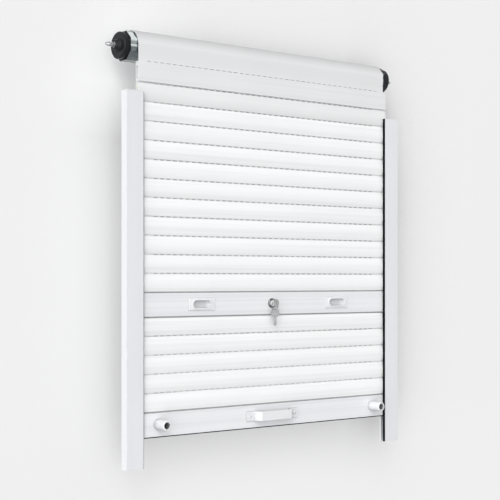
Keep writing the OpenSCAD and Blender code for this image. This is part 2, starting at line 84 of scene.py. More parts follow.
class Nodes:
    """A node tree, with short ways to add and join its nodes."""

    def __init__(self, owner):
        owner.use_nodes = True
        self.tree = owner.node_tree
        self.tree.nodes.clear()

    def set(self, socket, value):
        """Joins an input to another node's output, or gives it a fixed value."""
        if isinstance(value, bpy.types.NodeSocket):
            self.tree.links.new(value, socket)
        else:
            socket.default_value = value

    def add(self, kind, **values):
        """A new node, with inputs set by their names."""
        node = self.tree.nodes.new("ShaderNode" + kind)
        for name, value in values.items():
            self.set(node.inputs[name.replace("_", " ")], value)
        return node

    def span(self, value, a, b, low=0.0, high=1.0):
        """Runs from a to b while the value runs from low to high."""
        node = self.add("MapRange", Value=value, From_Min=low, From_Max=high, To_Min=a, To_Max=b)
        return node.outputs["Result"]

    def reckon(self, how, *values):
        """A sum, product or the like of two or three values."""
        node = self.add("Math")
        node.operation = how
        for socket, value in zip(node.inputs, values):
            self.set(socket, value)
        return node.outputs[0]

    def layers(self, share, under, over):
        """One shader over another, by a share from 0 to 1."""
        node = self.add("MixShader")
        for socket, value in zip(node.inputs, (share, under.outputs[0], over.outputs[0])):
            self.set(socket, value)
        return node


class Finish(Nodes):
    """A material with one principled surface, and patterns that lie on the object."""

    def __init__(self, name):
        self.material = bpy.data.materials.new(name)
        super().__init__(self.material)
        self.surface = self.add("BsdfPrincipled")
        self.add("OutputMaterial", Surface=self.surface.outputs[0])
        self.place = self.add("TexCoord").outputs["Object"]

    def height(self):
        """The height above the rails' feet, in metres."""
        return self.add("SeparateXYZ", Vector=self.place).outputs["Z"]

    def noise(self, scale, detail, rough=0.5, stretch=(1, 1, 1), distort=0.0):
        """Soft random patches, drawn out along the axis with the smallest stretch."""
        place = self.add("Mapping", Vector=self.place, Scale=stretch).outputs[0]
        node = self.add(
            "TexNoise", Vector=place, Scale=scale, Detail=detail, Roughness=rough, Distortion=distort
        )
        return node.outputs["Fac"]

    def cells(self, scale):
        """Random cells with a colour and a distance from their middle."""
        return self.add("TexVoronoi", Vector=self.place, Scale=scale)

    def mix(self, share, under, over):
        """One colour over another, by a share from 0 to 1."""
        node = self.add("Mix")
        node.data_type = "RGBA"
        self.set(node.inputs[0], share)
        for socket, colour in ((node.inputs[6], under), (node.inputs[7], over)):
            self.set(socket, (*colour, 1.0) if isinstance(colour, tuple) else colour)
        return node.outputs[2]

    def bump(self, height, strength, depth, below=None):
        """A relief of the given depth in millimetres, on top of another one."""
        node = self.add("Bump", Height=height, Strength=strength, Distance=depth * MM)
        if below is not None:
            self.set(node.inputs["Normal"], below)
        return node.outputs[0]

    def hollow(self, reach):
        """1 on open faces, towards 0 in corners and joints nearer than the reach in millimetres."""
        node = self.add("AmbientOcclusion", Distance=reach * MM)
        node.samples = 8
        return node.outputs["AO"]

    def edge(self, low, high):
        """0 on flats, 1 on convex edges."""
        return self.span(self.add("NewGeometry").outputs["Pointiness"], 0.0, 1.0, low, high)

    def done(self, colour, rough, normal, **fixed):
        """Joins the patterns to the surface and gives the material."""
        for name, value in dict(Base_Color=colour, Roughness=rough, Normal=normal, **fixed).items():
            self.set(self.surface.inputs[name.replace("_", " ")], value)
        return self.material


# kinds of finish

def times(colour, share):
    """A share of a colour."""
    return tuple(part * share for part in colour)


def darker(colour, step=0.020):
    """The same tint, a small step darker."""
    return tuple(part - step for part in colour)


def lacquer(name, light, dust, grain, streak, rough, dirt=0.5, soot=0.6, low=0.10, high=0.55, wide_shade=0.0):
    """Stove-lacquered or powder-coated aluminium: orange peel, faint streaks, dust and painted shade in the
    joints, painted shade near raised parts.
    """
    t = Finish(name)
    cloud = t.span(t.noise(5.0, 3.0), 0.0, 1.0, 0.35, 0.65)
    base = t.mix(cloud, light, darker(light))
    run = t.span(t.noise(1.0, 3.0, 0.6, streak), 0.0, 0.30, 0.45, 0.8)
    base = t.mix(run, base, dust)
    speck = t.span(t.noise(420.0, 1.0), 0.0, 0.22, 0.70, 0.80)
    base = t.mix(speck, base, dust)
    # painted shade: a wide soft darkening towards the dust colour near raised parts and the rails
    if wide_shade > 0:
        near = t.span(t.hollow(20.0), wide_shade, 0.0, 0.25, 0.92)
        base = t.mix(near, base, dust)
    # dust and painted shade: darker towards a share of the dust colour in joints and corners
    joint = t.span(t.hollow(4.0), dirt, 0.0, low, high)
    base = t.mix(joint, base, times(dust, soot))
    gloss = t.span(t.noise(30.0, 3.0), rough - 0.05, rough + 0.06, 0.3, 0.7)
    peel = t.bump(t.noise(grain, 2.0), 0.10, 0.12)
    relief = t.bump(t.noise(1.0, 2.0, stretch=streak), 0.06, 0.4, peel)
    return t.done(base, gloss, relief, IOR=1.45)


def moulded(
    name, light, dark, scuff, grain, rough, depth, gloss=0.5, reach=12.0, low=0.05, high=0.55, soot=0.28
):
    """Moulded plastic: fine spark-eroded grain, flow marks, rubbed edges, painted shade in deep hollows."""
    t = Finish(name)
    cloud = t.span(t.noise(14.0, 3.0, 0.6, distort=0.6), 0.0, 1.0, 0.3, 0.7)
    base = t.mix(cloud, light, dark)
    patchy = t.span(t.noise(90.0, 2.0), 0.0, 1.0, 0.35, 0.75)
    rub = t.reckon("MULTIPLY", t.edge(0.52, 0.60), patchy)
    base = t.mix(t.span(rub, 0.0, 0.7), base, scuff)
    # painted shade: darker towards a share of the dark tone in deep hollows
    deep_shade = t.span(t.hollow(reach), 0.85, 0.0, low, high)
    base = t.mix(deep_shade, base, times(dark, soot))
    matt = t.span(t.noise(70.0, 3.0), rough - 0.07, rough + 0.08, 0.3, 0.7)
    relief = t.bump(t.noise(grain, 2.0, 0.6), depth, 0.15)
    return t.done(base, matt, relief, IOR=1.46, Specular_IOR_Level=gloss)


def metal(name, light, dark, streak, scale, rough, scratch, low=0.30, high=0.70, spangle=0.0, under=0.0):
    """Bare or plated metal: drawn streaks, rubbed edges, and zinc flowers where it is galvanised.

    spangle is the size of the flowers in millimetres, and under is a painted reflection that darkens the
    roller's lower half.
    """
    t = Finish(name)
    field = t.noise(scale, 4.0, 0.65, streak)
    # painted reflection: darker towards the roller's bottom
    if under > 0:
        dark_from, light_from = (ROLLER_Z - 22.0) * MM, (ROLLER_Z + 8.0) * MM
        field = t.reckon("ADD", field, t.span(t.height(), under, -0.3 * under, dark_from, light_from))
    run = t.span(field, 0.0, 1.0, low, high)
    base = t.mix(run, light, dark)
    gloss = t.span(run, rough - 0.06, rough + 0.10)
    if spangle > 0:
        flower = t.add("SeparateColor", Color=t.cells(1.0 / (spangle * MM)).outputs["Color"])
        base = t.mix(t.span(flower.outputs[0], 0.0, 0.25), base, times(light, 0.62))
        gloss = t.reckon("ADD", gloss, t.span(flower.outputs[1], -0.06, 0.10))
    rubbed = tuple(min(0.95, part) for part in times(light, 1.15))
    base = t.mix(t.span(t.edge(0.53, 0.62), 0.0, 0.6), base, rubbed)
    relief = t.bump(t.noise(scale * 2.5, 3.0, 0.6, streak), scratch, 0.08)
    return t.done(base, gloss, relief, Metallic=1.0)


# lacquered aluminium: rails and slats

SLAT_WHITE = (0.897, 0.901, 0.910)
# the dust colour, also the tone of the painted shade in and near the joints
PALE_DUST_AND_SHADE = (0.60, 0.60, 0.60)
# strengths of the dust and painted shade in the slat joints, and of the wider painted shade near them
OPEN_JOINT = dict(dirt=0.3, high=0.50, wide_shade=0.35)
CLOSED_JOINT = dict(dirt=0.8, soot=0.30, low=0.30, high=0.75, wide_shade=0.5)


def slat_lacquer(name, light, dust, rough, **joint):
    """Lacquer with streaks along the slat."""
    return lacquer(name, light, dust, 1500.0, (0.9, 120, 120), rough, **joint)


COAT = lacquer(
    "powder_coat", (0.758, 0.768, 0.796), (0.62, 0.63, 0.64), grain=1300.0, streak=(40, 40, 1.2), rough=0.42
)
SLAT = slat_lacquer("slat_lacquer", SLAT_WHITE, PALE_DUST_AND_SHADE, 0.38, **OPEN_JOINT)
# a darker copy of the slat lacquer: painted shade near the curtain's top
SHADED_FIRST = slat_lacquer("shaded_first_slat_lacquer", (0.805, 0.808, 0.816), PALE_DUST_AND_SHADE, 0.38, dirt=0.0)
PLAIN = slat_lacquer("plain_slat_lacquer", SLAT_WHITE, (0.50, 0.50, 0.50), 0.38, **CLOSED_JOINT)
FLAT = slat_lacquer("flat_slat_lacquer", (0.812, 0.819, 0.842), (0.50, 0.51, 0.52), 0.40, **CLOSED_JOINT)
# a darker copy of the slat lacquer: painted shade at the curtain's top
SHADED_HEAD = slat_lacquer("shaded_top_slat_lacquer", (0.772, 0.775, 0.790), (0.58, 0.58, 0.59), 0.40, dirt=0.1)


# plastic: handle, pulls, stoppers, caps and lacquered screw heads

def white_plastic(name, light, dark, scuff, **hollow):
    """Satin white plastic, with its own strength of painted shade in hollows."""
    return moulded(name, light, dark, scuff, grain=1900.0, rough=0.40, depth=0.07, **hollow)


HANDLE_WHITE = (0.785, 0.791, 0.811)
STOP_WHITE = (0.780, 0.786, 0.806)
PULL_WHITE = (0.800, 0.807, 0.830)
WHITE = white_plastic(
    "white_plastic", HANDLE_WHITE, darker(HANDLE_WHITE), (0.74, 0.74, 0.75),
    reach=24.0, low=0.25, high=0.95, soot=0.55,
)
PULL = white_plastic(
    "pull_plastic", PULL_WHITE, darker(PULL_WHITE, 0.018), (0.74, 0.75, 0.76),
    gloss=0.4, reach=26.0, low=0.15, high=0.97, soot=0.34,
)
STOP = white_plastic(
    "stopper_plastic", STOP_WHITE, darker(STOP_WHITE), (0.74, 0.74, 0.75),
    reach=40.0, low=0.22, high=0.62, soot=0.12,
)
BLACK = moulded(
    "black_plastic", (0.006, 0.007, 0.009), (0.011, 0.012, 0.015), (0.040, 0.042, 0.047),
    grain=1500.0, rough=0.34, depth=0.20, gloss=0.22,
)
WHITE_SCREW = moulded(
    "lacquered_screw", (0.770, 0.776, 0.790), (0.745, 0.750, 0.765), (0.55, 0.55, 0.55),
    grain=1400.0, rough=0.34, depth=0.05,
)


# metal: tube, lock, keys and screws

# the dark of the painted reflection bands on zinc
ZINC_DARK_REFLECTION = (0.030, 0.055, 0.062)
ALONG_TUBE = (0.5, 100, 100)
ALL_WAYS = (30, 30, 30)


def zinc(name, light, **more):
    """Hot-dip zinc with hard dark streaks along the piece, painted reflection bands."""
    return metal(
        name, light, ZINC_DARK_REFLECTION, ALONG_TUBE, scale=1.0, rough=0.22, scratch=0.18,
        low=0.40, high=0.60, spangle=9.0, **more
    )


GALV = zinc("galvanised", (0.80, 0.86, 0.86))
# under: a painted reflection, darker on the tube's lower half
TUBE = zinc("zinc_tube", (0.82, 0.88, 0.88), under=0.34)
STEEL = metal(
    "bright_steel", (0.56, 0.57, 0.58), (0.30, 0.31, 0.33), (1.0, 40, 40),
    scale=8.0, rough=0.26, scratch=0.12,
)
CHROME = metal(
    "nickel_plate", (0.26, 0.26, 0.26), (0.07, 0.07, 0.08), ALL_WAYS,
    scale=14.0, rough=0.18, scratch=0.05,
)
NICKEL = metal(
    "key_nickel", (0.23, 0.23, 0.23), (0.14, 0.14, 0.15), ALL_WAYS,
    scale=12.0, rough=0.24, scratch=0.06,
)
WORN = metal(
    "worn_key_nickel", (0.54, 0.54, 0.53), (0.38, 0.38, 0.38), ALL_WAYS,
    scale=12.0, rough=0.26, scratch=0.08,
)
PLUG = metal(
    "polished_plug", (0.92, 0.92, 0.92), (0.66, 0.66, 0.67), ALL_WAYS,
    scale=14.0, rough=0.20, scratch=0.05,
)
SCREW = metal(
    "zinc_screw", (0.60, 0.60, 0.59), (0.36, 0.36, 0.36), (60, 60, 60),
    scale=20.0, rough=0.30, scratch=0.10,
)


# sheet, rubber, nylon and foam

def apron_sheet():
    """Flexible pale sheet: fine calendered grain, painted shade where it lies on the roller and in its slots
    and joints.
    """
    shade_from, shade_to = (ROLLER_Z + 6.5) * MM, (ROLLER_Z + 31.5) * MM
    t = Finish("apron_sheet")
    cloud = t.span(t.noise(4.0, 3.0), 0.0, 1.0, 0.35, 0.65)
    base = t.mix(cloud, (0.728, 0.730, 0.738), (0.712, 0.714, 0.722))
    # painted shade: darker up over the roller, with an uneven edge
    uneven = t.reckon("ADD", t.height(), t.span(t.noise(9.0, 3.0), -2.0 * MM, 2.0 * MM))
    base = t.mix(t.span(uneven, 0.0, 1.0, shade_from, shade_to), base, (0.485, 0.487, 0.493))
    # painted shade in the slots and joints
    joint = t.span(t.hollow(4.0), 0.7, 0.0, 0.10, 0.55)
    base = t.mix(joint, base, (0.30, 0.30, 0.31))
    gloss = t.span(t.noise(40.0, 3.0), 0.44, 0.56, 0.3, 0.7)
    grain = t.bump(t.noise(1100.0, 2.0), 0.10, 0.12)
    relief = t.bump(t.noise(1.0, 2.0, stretch=(2.0, 30, 30)), 0.10, 0.8, grain)
    return t.done(base, gloss, relief, IOR=1.47)


def rubber():
    """Black pile and rubber: matt, with tufts along the strip and pale dust on the tips."""
    t = Finish("black_rubber")
    pile = t.noise(1.0, 3.0, 0.7, (2600, 2600, 90))
    base = t.mix(t.span(pile, 0.0, 1.0, 0.35, 0.75), (0.003, 0.003, 0.004), (0.009, 0.009, 0.010))
    dust = t.span(t.noise(60.0, 3.0), 0.0, 0.25, 0.6, 0.8)
    base = t.mix(dust, base, (0.026, 0.026, 0.027))
    return t.done(base, t.span(pile, 0.72, 0.92), t.bump(pile, 0.4, 0.4), Specular_IOR_Level=0.15)


def nylon():
    """Natural nylon: yellowish, a little translucent."""
    t = Finish("natural_nylon")
    cloud = t.span(t.noise(40.0, 3.0), 0.0, 1.0, 0.3, 0.7)
    base = t.mix(cloud, (0.66, 0.63, 0.54), (0.58, 0.55, 0.46))
    gloss = t.span(t.noise(90.0, 2.0), 0.40, 0.55)
    return t.done(base, gloss, t.bump(t.noise(900.0, 2.0), 0.10, 0.2), Subsurface_Weight=0.05)


def foam():
    """Insulating foam with open cells."""
    t = Finish("insulating_foam")
    cell = t.cells(650.0).outputs["Distance"]
    base = t.mix(t.span(cell, 0.0, 1.0, 0.1, 0.8), (0.78, 0.77, 0.72), (0.60, 0.58, 0.52))
    return t.done(base, t.span(cell, 0.80, 0.95), t.bump(cell, 0.6, 0.8))


SHEET = apron_sheet()
RUBBER = rubber()
NYLON = nylon()
FOAM = foam()


# which node wears which finish

SLATS = ["slat_%02d" % i for i in range(1, 17)]
DRESS = {
    COAT: ["left_guide_rail", "right_guide_rail"],
    SLAT: [node for node in SLATS if node not in ("slat_01", "slat_12")],
    SHADED_FIRST: ["slat_01"],
    PLAIN: ["slat_12"],
    FLAT: ["lock_slat", "bottom_slat"],
    SHADED_HEAD: ["top_slat"],
    SHEET: ["top_apron"],
    WHITE: ["bow_handle"],
    STOP: ["left_stopper", "right_stopper"],
    PULL: ["left_finger_pull", "right_finger_pull"],
    BLACK: [
        "left_end_cap", "right_end_cap", "spring_plug", "slat_end_locks", "left_bar_guide", "right_bar_guide",
    ],
    RUBBER: ["left_liner", "right_liner", "bottom_seal"],
    TUBE: ["roller_tube"],
    GALV: ["apron_clamp", "left_lock_bar", "right_lock_bar", "left_lock_strike", "right_lock_strike"],
    STEEL: ["axle", "spring_anchor", "torsion_spring", "lock_case", "lock_pinion"],
    CHROME: ["lock_rose"],
    PLUG: ["lock_plug", "lock_housing"],
    WORN: ["key"],
    NICKEL: ["key_ring", "spare_key"],
    SCREW: ["strike_screws", "apron_screws", "lock_case_screws"],
    WHITE_SCREW: ["handle_screws", "stopper_screws"],
    NYLON: ["tube_bushes"],
    FOAM: ["slat_foam"],
}
MATERIAL_OF = {node: material for material, nodes in DRESS.items() for node in nodes}
for node, o in NODES.items():
    o.data.materials.clear()
    o.data.materials.append(MATERIAL_OF[node])


# pieces

def new_piece(name, bm, material):
    """A mesh object from a bmesh, in the frame's own place."""
    mesh = bpy.data.meshes.new(name)
    bm.to_mesh(mesh)
    bm.free()
    mesh.materials.append(material)
    o = bpy.data.objects.new(name, mesh)
    scene.collection.objects.link(o)
    return o


def smooth(o, angle=35.0):
    """Smooth shading, with edges sharper than the angle left crisp."""
    for p in o.data.polygons:
        p.use_smooth = True
    o.data.set_sharp_from_angle(angle=math.radians(angle))
    return o


def stand_for(o, node):
    """Lets a piece ride on the node's body and show in the node's place."""
    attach(o, BODY_OF[node])
    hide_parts(node)
    return o


def point(bm, x, y, z):
    """A vertex at a place in millimetres."""
    return bm.verts.new((x * MM, y * MM, z * MM))


def tube_faces(bm, first, second):
    """Faces all round between two rings with as many points."""
    count = len(first)
    for i in range(count):
        j = (i + 1) % count
        bm.faces.new([first[i], first[j], second[j], second[i]])


def outward(bm):
    """Turns all faces to look out of the closed skin."""
    bmesh.ops.recalc_face_normals(bm, faces=bm.faces)


def cut_many_sided(bm):
    """Cuts faces with over four sides into triangles."""
    bmesh.ops.triangulate(bm, faces=[f for f in bm.faces if len(f.verts) > 4])


# edges rounded as lacquer, moulding or a file leaves them, by radius

SOFT = {
    "left_guide_rail": 0.7, "right_guide_rail": 0.7,
    "lock_slat": 0.5, "bottom_slat": 0.5, "top_slat": 0.5,
    "bow_handle": 1.0, "left_stopper": 0.5, "right_stopper": 0.5,
    "left_end_cap": 0.8, "right_end_cap": 0.8,
    "lock_rose": 0.3, "lock_housing": 0.3, "lock_plug": 0.25, "lock_case": 0.8,
    "left_lock_strike": 0.4, "right_lock_strike": 0.4, "apron_clamp": 0.4,
    "roller_tube": 0.3,
}
SOFT.update({node: 0.35 for node in SLATS})
WELD = 2e-6
SAME_FACE = math.radians(0.4)
SHARP = math.radians(30.0)


def softened(node, radius):
    """The node's own shape with its edges rounded."""
    bm = bmesh.new()
    bm.from_mesh(NODES[node].data)
    bmesh.ops.remove_doubles(bm, verts=bm.verts, dist=WELD)
    bmesh.ops.dissolve_limit(
        bm, angle_limit=SAME_FACE, verts=bm.verts, edges=bm.edges, delimit={"NORMAL"}
    )
    sharp = [e for e in bm.edges if len(e.link_faces) == 2 and e.calc_face_angle(0.0) > SHARP]
    bmesh.ops.bevel(
        bm, geom=sharp, offset=radius * MM, offset_type="OFFSET", segments=3 if radius > 0.7 else 2,
        profile=0.5, affect="EDGES", clamp_overlap=True, loop_slide=True,
    )
    cut_many_sided(bm)
    o = smooth(new_piece(node + "_v", bm, MATERIAL_OF[node]), 50.0)
    even = o.modifiers.new("even_normals", "WEIGHTED_NORMAL")
    even.keep_sharp = True
    even.weight = 60
    return stand_for(o, node)


for node, radius in SOFT.items():
    softened(node, radius)


# finger pulls: a plate with a raised rim round a scooped recess

PULL_X = 191.0
PULL_POINTS = 120
CORNER_STEPS = 12


def rounded_rect(w, h, r, count):
    """Points round a rectangle with corner radius r, by equal steps along its edge."""
    ax, az = w / 2 - r, h / 2 - r
    edge = []
    for cx, cz, start in ((ax, az, 0), (-ax, az, 90), (-ax, -az, 180), (ax, -az, 270)):
        for k in range(CORNER_STEPS + 1):
            a = math.radians(start + 90 * k / CORNER_STEPS)
            edge.append((cx + r * math.cos(a), cz + r * math.sin(a)))
    edge.append(edge[0])
    run = [0.0]
    for p, q in zip(edge, edge[1:]):
        run.append(run[-1] + math.hypot(q[0] - p[0], q[1] - p[1]))
    points = []
    j = 0
    for i in range(count):
        along = run[-1] * i / count
        while run[j + 1] < along:
            j += 1
        f = (along - run[j]) / max(1e-9, run[j + 1] - run[j])
        p, q = edge[j], edge[j + 1]
        points.append((p[0] + (q[0] - p[0]) * f, p[1] + (q[1] - p[1]) * f))
    return points


def ring_skin(bm, rings):
    """Rings of points joined into one closed skin, with fans at both ends."""
    rows = [[point(bm, *place) for place in ring] for ring in rings]
    for first, second in zip(rows, rows[1:]):
        tube_faces(bm, first, second)
    for row in (rows[0], rows[-1]):
        middle = bm.verts.new(sum((v.co for v in row), Vector((0, 0, 0))) / len(row))
        for v, w in zip(row, row[1:] + row[:1]):
            bm.faces.new([v, w, middle])
    outward(bm)


def shrunk(size, step):
    """A rounded rectangle's width, height and corner radius, a step smaller all round."""
    w, h, r = size
    return (w - 2 * step, h - 2 * step, r - step)


def pull_scoop(size, f):
    """The recess narrows to its floor as f goes from 0 to 1."""
    w = size[0] - 19.0 * f ** 1.5
    h = size[1] - 7.0 * f ** 2.2
    return (w, h, h / 2 - 0.05)


def pull_rings():
    """The pull's skin as (size, y) rings, from the back of the cup round its outside into the recess."""
    plate, cup, cup_floor = (69.0, 26.5, 3.0), (46.4, 17.4, 8.6), (40.0, 12.0, 5.9)
    rim_foot, rim_side, rim_flat = (56.0, 22.4, 10.8), (54.6, 21.4, 10.4), (48.2, 18.6, 9.2)
    cup_back, plate_face, rim_top, scoop_depth = -5.2, -14.0, -15.0, 7.6
    edge_r, least_r, lip_r = 1.2, 2.0, 0.9
    rings = [(cup_floor, cup_back), (cup, cup_back), (cup, SLAT_FACE), (plate, SLAT_FACE)]
    for k in range(6):
        a = math.radians(90 * k / 5)
        w, h, r = shrunk(plate, edge_r * (1 - math.cos(a)))
        rings.append(((w, h, max(least_r, r)), plate_face + edge_r * (1 - math.sin(a))))
    rings.append((rim_foot, plate_face))
    for k in range(6):
        f = k / 5
        rings.append((shrunk(rim_side, f), plate_face + (rim_top - plate_face) * f * f * (3 - 2 * f)))
    rings.append((rim_flat, rim_top))
    for k in range(5):
        a = math.radians(90 * k / 4)
        rings.append((shrunk(cup, lip_r * math.sin(a)), rim_top + lip_r * (1 - math.cos(a))))
    for k in range(1, 15):
        depth = scoop_depth * math.sin(math.radians(90 * k / 14)) ** 0.9
        rings.append((pull_scoop(shrunk(cup, lip_r), k / 14), rim_top + lip_r + depth))
    return rings


def finger_pull(node, x):
    """One pull, in the lock slat's middle at a place along it."""
    bm = bmesh.new()
    ring_skin(bm, [
        [(x + px, y, LOCK_Z + pz) for px, pz in rounded_rect(*size, PULL_POINTS)] for size, y in pull_rings()
    ])
    return stand_for(smooth(new_piece(node + "_v", bm, PULL), 40.0), node)


finger_pull("left_finger_pull", -PULL_X)
finger_pull("right_finger_pull", PULL_X)


# keys: flat blanks with a rim and a milled groove

RING_R = 8.5
RING_SIDE = RING_R / math.sqrt(2)
FLAT_TO_KEY = Matrix(((0, 0, 1, 0), (1, 0, 0, 0), (0, 1, 0, 0), (0, 0, 0, 1)))


def flat_plate(outlines, thick, edge, at):
    """A plate from closed outlines, holes included, with rounded edges, standing on edge at a place."""
    curve = bpy.data.curves.new("outline", "CURVE")
    curve.dimensions = "2D"
    curve.fill_mode = "BOTH"
    curve.extrude = (thick / 2 - edge) * MM
    curve.bevel_depth = edge * MM
    curve.bevel_resolution = 1
    curve.offset = -edge * MM
    for outline in outlines:
        spline = curve.splines.new("POLY")
        spline.points.add(len(outline) - 1)
        for p, (v, w) in zip(spline.points, outline):
            p.co = (v * MM, w * MM, 0, 1)
        spline.use_cyclic_u = True
    o = bpy.data.objects.new("outline", curve)
    mesh = bpy.data.meshes.new_from_object(o)
    bpy.data.objects.remove(o)
    bpy.data.curves.remove(curve)
    mesh.transform(at @ FLAT_TO_KEY)
    return mesh


def core(at, *outlines):
    """The milled-down middle of a key."""
    return flat_plate(outlines, thick=1.20, edge=0.15, at=at)


def raised(at, *outlines):
    """What stands out on both sides of a key: rims and ridges."""
    return flat_plate(outlines, thick=1.80, edge=0.20, at=at)


def arc(cx, cy, r, start, sweep, steps):
    """Points along an arc, both ends included, by degrees."""
    angles = [math.radians(start + sweep * i / steps) for i in range(steps + 1)]
    return [(cx + r * math.cos(a), cy + r * math.sin(a)) for a in angles]


def circle(cx, cy, r, count=48):
    """Points all round a circle."""
    return arc(cx, cy, r, 0.0, 360.0, count)[:-1]


def joined(name, meshes, material):
    """One piece from several meshes."""
    bm = bmesh.new()
    for mesh in meshes:
        bm.from_mesh(mesh)
        bpy.data.meshes.remove(mesh)
    bmesh.ops.remove_doubles(bm, verts=bm.verts, dist=1e-7)
    return smooth(new_piece(name, bm, material), 35.0)


def spare_key():
    """The key that hangs on the ring by its eye: round bow, shoulders, ridged blade and cuts."""
    eye_drop, eye_r, eye_rim = 1.75, 3.2, 4.3
    bow_z, bow_r, rim_out, rim_in = -5.2, 9.6, 9.5, 7.6
    front, back, tip, ridge_top = 3.2, -3.6, -32.6, -13.5
    neck, shoulder_drop, heel, toe = 1.2, 1.6, 3.0, 1.6
    hang = Matrix.Translation(
        (-RING_SIDE * MM, RING_Y * MM, (LOCK_Z - RING_SIDE - RING_R - eye_drop) * MM)
    )
    at = hang @ Matrix.Rotation(math.radians(50), 4, "Z")
    gap = math.degrees(math.asin((front + neck) / bow_r))
    shoulder = bow_z - bow_r * math.cos(math.radians(gap)) - shoulder_drop
    bow = arc(0, bow_z, bow_r, gap - 90, 360 - 2 * gap, 48)
    blade = [(back, shoulder), (back, tip + heel), (back + toe, tip), (1.0, tip)]
    cuts = [
        (2.2, -31.4), (2.9, -30.0), (1.8, -28.4), (1.8, -27.5), (3.0, -26.0), (1.4, -24.2), (1.4, -23.3),
        (3.1, -21.5), (2.2, -20.0), (2.2, -19.0), (3.2, -17.6),
    ]
    eye = circle(0, 0, eye_r, 32)
    rear_ridge = [(-3.5, -29.6), (-1.8, -30.8), (-1.8, ridge_top), (-3.5, ridge_top)]
    front_ridge = [(-0.3, -31.6), (1.1, -31.6), (1.1, ridge_top), (-0.3, ridge_top)]
    plates = [
        core(at, bow + blade + cuts + [(front, shoulder)], eye),
        raised(at, circle(0, bow_z, rim_out), circle(0, bow_z, rim_in)),
        raised(at, circle(0, 0, eye_rim, 32), eye),
        raised(at, rear_ridge),
        raised(at, front_ridge),
    ]
    stand_for(joined("spare_key_v", plates, NICKEL), "spare_key")


def key_in_lock():
    """The key that is put in: its bow stands out of the plug, with a ridge on each half of the stem."""
    at = Matrix.Translation((0, 0, LOCK_Z * MM))
    bow_y, bow_r, rim_out, rim_in = -27.0, 9.0, 8.9, 6.9
    eye_r, eye_rim = 2.6, 3.7
    collar, stem_end, stem_half, collar_half = -16.4, -9.8, 3.6, 5.0
    bow = arc(bow_y, 0, bow_r, 322.0, -284.0, 44)
    stem = [
        (collar, collar_half), (collar, stem_half), (stem_end, stem_half),
        (stem_end, -stem_half), (collar, -stem_half), (collar, -collar_half),
    ]
    ridge = [(-19.5, 4.9), (-16.5, 4.9), (-16.5, 3.5), (-9.9, 3.5), (-9.9, 0.9), (-19.5, 0.9)]
    eye = circle(RING_Y, 0, eye_r, 32)
    plates = [
        core(at, bow + stem, eye),
        raised(at, circle(bow_y, 0, rim_out), circle(bow_y, 0, rim_in)),
        raised(at, circle(RING_Y, 0, eye_rim, 32), eye),
        raised(at, ridge),
        raised(at, [(v, -w) for v, w in reversed(ridge)]),
    ]
    stand_for(joined("key_v", plates, WORN), "key")


spare_key()
key_in_lock()


# wire: the split ring and the wound spring

WIRE_SIDES = 10


def wire(name, points, radius, material):
    """A round wire along points in millimetres, with flat ends."""
    bm = bmesh.new()
    path = [Vector(p) for p in points]
    angles = [2 * math.pi * k / WIRE_SIDES for k in range(WIRE_SIDES)]
    side = None
    rows = []
    for i, p in enumerate(path):
        ahead = (path[min(i + 1, len(path) - 1)] - path[max(i - 1, 0)]).normalized()
        if side is None:
            side = ahead.orthogonal().normalized()
        side = (side - ahead * side.dot(ahead)).normalized()
        up = ahead.cross(side)
        rows.append([point(bm, *(p + (side * math.cos(a) + up * math.sin(a)) * radius)) for a in angles])
    for first, second in zip(rows, rows[1:]):
        tube_faces(bm, first, second)
    bm.faces.new(rows[0][::-1])
    bm.faces.new(rows[-1])
    outward(bm)
    return smooth(new_piece(name, bm, material), 60.0)


def split_ring():
    """Nearly two turns side by side, with a step from one to the other."""
    turns, steps, start, half_gap = 1.92, 180, 300.0, 0.40
    step_from, step_len = 0.82, 0.2
    points = []
    for i in range(steps + 1):
        turn = turns * i / steps
        a = math.radians(start + 360.0 * turn)
        s = min(1.0, max(0.0, (turn - step_from) / step_len))
        y = RING_Y - half_gap + 2 * half_gap * s * s * (3 - 2 * s)
        points.append((RING_R * math.cos(a) - RING_SIDE, y, LOCK_Z - RING_SIDE + RING_R * math.sin(a)))
    return stand_for(wire("key_ring_v", points, 0.39, NICKEL), "key_ring")


def wound_spring():
    """The torsion spring round the axle."""
    turns, steps, r, left, length = 20, 28, 15.0, -310.0, 175.0
    points = []
    for i in range(turns * steps + 1):
        turn = i / steps
        a = 2 * math.pi * turn
        points.append((left + length * turn / turns, ROLLER_Y + r * math.cos(a), ROLLER_Z + r * math.sin(a)))
    return stand_for(wire("torsion_spring_v", points, 1.5, STEEL), "torsion_spring")


split_ring()
wound_spring()


# screws: domed heads with a cross recess

SCREW_SIDES = 28
FIRST_SPIN, NEXT_SPIN = 23.0, 37.0


def screw_profile(seat_r, head_h, shank_r, shank):
    """Radius and place along the screw, from the top of its head to its tip."""
    rim, thread_step, thread_depth = 0.25, 0.8, 0.35
    neck, plain, tip_h, tip_step = 0.4, 1.6, 1.0, 0.3
    profile = [(0.0, -head_h)]
    for k in range(1, 7):
        a = math.radians(90 * k / 6)
        profile.append((seat_r * math.sin(a), -head_h * (rim + (1 - rim) * math.cos(a))))
    profile += [(seat_r, 0.0), (shank_r, 0.0)]
    threads = max(4, int(shank / thread_step))
    for k in range(threads):
        groove = thread_depth if k % 2 else 0.0
        profile.append((shank_r - groove, neck + (shank - plain) * k / threads))
    return profile + [(shank_r - tip_step, shank - tip_h), (0.0, shank)]


